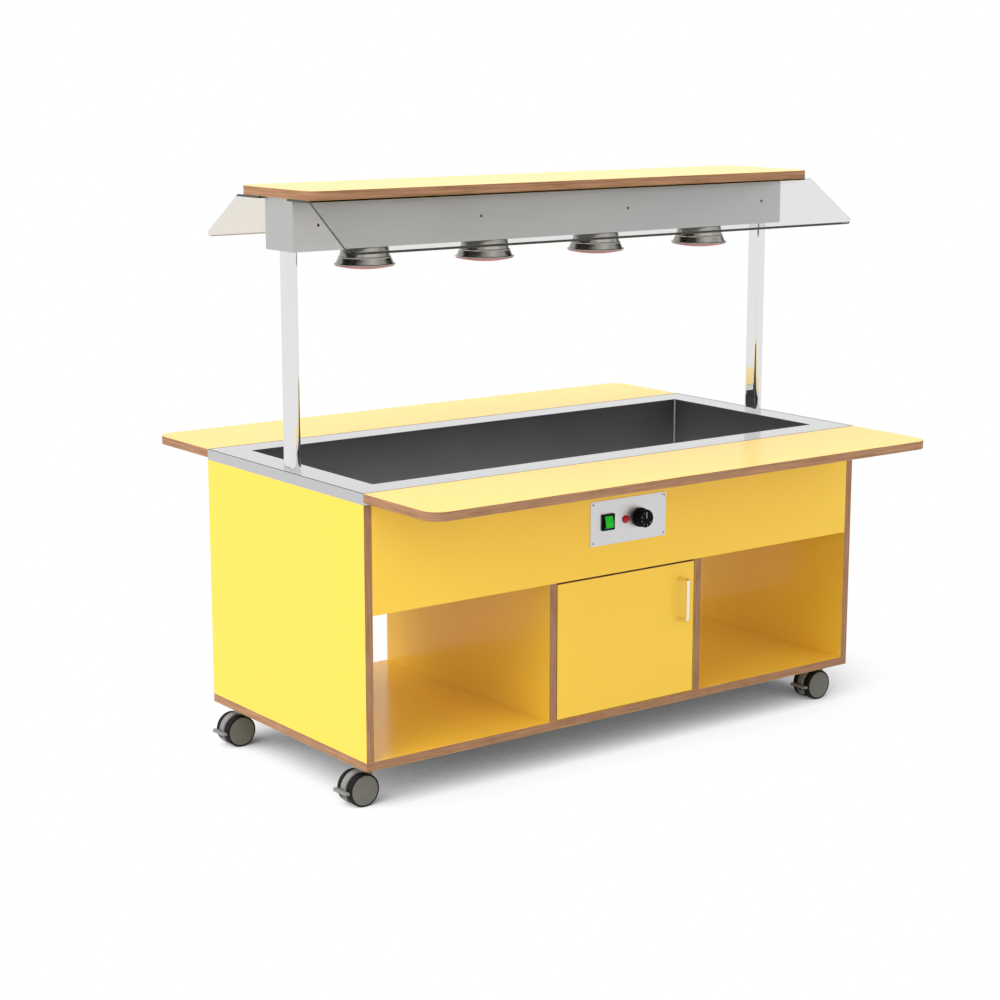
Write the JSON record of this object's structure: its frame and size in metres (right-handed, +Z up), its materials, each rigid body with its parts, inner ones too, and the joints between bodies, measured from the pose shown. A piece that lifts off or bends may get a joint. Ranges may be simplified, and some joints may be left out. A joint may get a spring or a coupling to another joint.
{
  "type": "steam table",
  "caption": "Mobile heated buffet counter: laminated plywood cabinet with tray shelves, stainless well, lamp canopy with clear guards, on braked casters.",
  "frame": {"origin": "middle of the footprint, on the floor", "axes": "+Z up, front with the controls towards -Y, +X to the right of someone facing the front"},
  "size_m": [1.4883, 1.175, 1.3265],
  "materials": {
    "laminate_board": "satin yellow laminate faces, oiled plywood edges",
    "bare_plywood": "bare plywood",
    "stainless_sheet": "fine satin stainless",
    "well_steel": "satin stainless, dark in the well",
    "brushed_plate": "brushed",
    "polished_steel": "mirror polished",
    "dark_chrome": "polished, smoked",
    "zinc_steel": "zinc plated",
    "heater_metal": "matte",
    "valve_brass": "cast, satin",
    "lever_red": "dipped coating",
    "black_plastic": "fine texture",
    "green_plastic": "translucent lens",
    "red_lens": "translucent lens",
    "grey_plastic": "moulded",
    "white_plastic": "moulded",
    "tyre_rubber": "soft tread, grey disc covers",
    "clear_sheet": "polished clear sheet",
    "red_glass": "red pressed glass",
    "lamp_ceramic": "glazed ceramic"
  },
  "bodies": {
    "cabinet": {"bottom_panel": "laminate_board", "cable_gland": "grey_plastic", "canopy_hood": "stainless_sheet", "canopy_shelf": "laminate_board", "caster_plates": "zinc_steel", "control_plate": "brushed_plate", "cover_screws": "zinc_steel", "cupboard_back": "laminate_board", "deck_panel": "laminate_board", "divider_left": "laminate_board", "divider_right": "laminate_board", "door_catch": "white_plastic", "drain_fitting": "stainless_sheet", "drain_valve": "valve_brass", "fascia_front": "laminate_board", "fascia_rear": "laminate_board", "guard_screws": "zinc_steel", "hinge_arms": "zinc_steel", "lamp_bulbs": "red_glass", "lamp_holders": "lamp_ceramic", "lamp_shades": "dark_chrome", "pilot_lamp": "red_lens", "post_fixings": "zinc_steel", "post_left": "polished_steel", "post_right": "polished_steel", "shelf_brackets": "zinc_steel", "side_panel_left": "laminate_board", "side_panel_right": "laminate_board", "sneeze_guard_front": "clear_sheet", "sneeze_guard_rear": "clear_sheet", "switch_housing": "black_plastic", "thermostat_body": "black_plastic", "tray_shelf_front": "laminate_board", "tray_shelf_rear": "laminate_board", "well_heaters": "heater_metal", "well_tank": "well_steel", "worktop": "stainless_sheet", "worktop_frame": "bare_plywood"},
    "door": {"door_panel": "laminate_board", "door_handle": "polished_steel", "hinge_cups": "zinc_steel"},
    "knob": {"thermostat_knob": "black_plastic"},
    "rocker": {"switch_rocker": "green_plastic"},
    "lever": {"drain_lever": "lever_red"},
    "swivel_front_left": {"caster_yoke_front_left": "grey_plastic"},
    "pedal_front_left": {"caster_brake_front_left": "grey_plastic"},
    "roller_a_front_left": {"wheel_a_front_left": "tyre_rubber"},
    "roller_b_front_left": {"wheel_b_front_left": "tyre_rubber"},
    "swivel_front_right": {"caster_yoke_front_right": "grey_plastic"},
    "pedal_front_right": {"caster_brake_front_right": "grey_plastic"},
    "roller_a_front_right": {"wheel_a_front_right": "tyre_rubber"},
    "roller_b_front_right": {"wheel_b_front_right": "tyre_rubber"},
    "swivel_rear_left": {"caster_yoke_rear_left": "grey_plastic"},
    "pedal_rear_left": {"caster_brake_rear_left": "grey_plastic"},
    "roller_a_rear_left": {"wheel_a_rear_left": "tyre_rubber"},
    "roller_b_rear_left": {"wheel_b_rear_left": "tyre_rubber"},
    "swivel_rear_right": {"caster_yoke_rear_right": "grey_plastic"},
    "pedal_rear_right": {"caster_brake_rear_right": "grey_plastic"},
    "roller_a_rear_right": {"wheel_a_rear_right": "tyre_rubber"},
    "roller_b_rear_right": {"wheel_b_rear_right": "tyre_rubber"}
  },
  "joints": [
    {"name": "door_swing", "type": "hinge", "parent": "cabinet", "child": "door", "pos_m": [-0.208, -0.3325, 0.2755], "axis": [0, 0, -1], "range_deg": [0, 105]},
    {"name": "knob_turn", "type": "hinge", "parent": "cabinet", "child": "knob", "pos_m": [0.033, -0.334, 0.5612], "axis": [0, 1, 0], "range_deg": [0, 270]},
    {"name": "rocker_press", "type": "hinge", "parent": "cabinet", "child": "rocker", "pos_m": [-0.062, -0.336, 0.5612], "axis": [1, 0, 0], "range_deg": [0, 18]},
    {"name": "drain_turn", "type": "hinge", "parent": "cabinet", "child": "lever", "pos_m": [-0.12, 0.178, 0.3915], "axis": [0, 1, 0], "range_deg": [0, 90]},
    {"name": "swivel_turn_front_left", "type": "hinge", "parent": "cabinet", "child": "swivel_front_left", "pos_m": [-0.6878, -0.2662, 0.0935], "axis": [0, 0, 1], "continuous": true},
    {"name": "wheel_a_spin_front_left", "type": "hinge", "parent": "swivel_front_left", "child": "roller_a_front_left", "pos_m": [-0.705, -0.2662, 0.0375], "axis": [0, 1, 0], "continuous": true},
    {"name": "wheel_b_spin_front_left", "type": "hinge", "parent": "swivel_front_left", "child": "roller_b_front_left", "pos_m": [-0.705, -0.2662, 0.0375], "axis": [0, 1, 0], "continuous": true},
    {"name": "brake_press_front_left", "type": "hinge", "parent": "swivel_front_left", "child": "pedal_front_left", "pos_m": [-0.729, -0.2662, 0.037], "axis": [0, -1, 0], "range_deg": [0, 12]},
    {"name": "swivel_turn_front_right", "type": "hinge", "parent": "cabinet", "child": "swivel_front_right", "pos_m": [0.6878, -0.2662, 0.0935], "axis": [0, 0, 1], "continuous": true},
    {"name": "wheel_a_spin_front_right", "type": "hinge", "parent": "swivel_front_right", "child": "roller_a_front_right", "pos_m": [0.6706, -0.2662, 0.0375], "axis": [0, 1, 0], "continuous": true},
    {"name": "wheel_b_spin_front_right", "type": "hinge", "parent": "swivel_front_right", "child": "roller_b_front_right", "pos_m": [0.6706, -0.2662, 0.0375], "axis": [0, 1, 0], "continuous": true},
    {"name": "brake_press_front_right", "type": "hinge", "parent": "swivel_front_right", "child": "pedal_front_right", "pos_m": [0.6466, -0.2662, 0.037], "axis": [0, -1, 0], "range_deg": [0, 12]},
    {"name": "swivel_turn_rear_left", "type": "hinge", "parent": "cabinet", "child": "swivel_rear_left", "pos_m": [-0.6878, 0.2662, 0.0935], "axis": [0, 0, 1], "continuous": true},
    {"name": "wheel_a_spin_rear_left", "type": "hinge", "parent": "swivel_rear_left", "child": "roller_a_rear_left", "pos_m": [-0.705, 0.2662, 0.0375], "axis": [0, 1, 0], "continuous": true},
    {"name": "wheel_b_spin_rear_left", "type": "hinge", "parent": "swivel_rear_left", "child": "roller_b_rear_left", "pos_m": [-0.705, 0.2662, 0.0375], "axis": [0, 1, 0], "continuous": true},
    {"name": "brake_press_rear_left", "type": "hinge", "parent": "swivel_rear_left", "child": "pedal_rear_left", "pos_m": [-0.729, 0.2662, 0.037], "axis": [0, -1, 0], "range_deg": [0, 12]},
    {"name": "swivel_turn_rear_right", "type": "hinge", "parent": "cabinet", "child": "swivel_rear_right", "pos_m": [0.6878, 0.2662, 0.0935], "axis": [0, 0, 1], "continuous": true},
    {"name": "wheel_a_spin_rear_right", "type": "hinge", "parent": "swivel_rear_right", "child": "roller_a_rear_right", "pos_m": [0.6706, 0.2662, 0.0375], "axis": [0, 1, 0], "continuous": true},
    {"name": "wheel_b_spin_rear_right", "type": "hinge", "parent": "swivel_rear_right", "child": "roller_b_rear_right", "pos_m": [0.6706, 0.2662, 0.0375], "axis": [0, 1, 0], "continuous": true},
    {"name": "brake_press_rear_right", "type": "hinge", "parent": "swivel_rear_right", "child": "pedal_rear_right", "pos_m": [0.6466, 0.2662, 0.037], "axis": [0, -1, 0], "range_deg": [0, 12]}
  ]
}
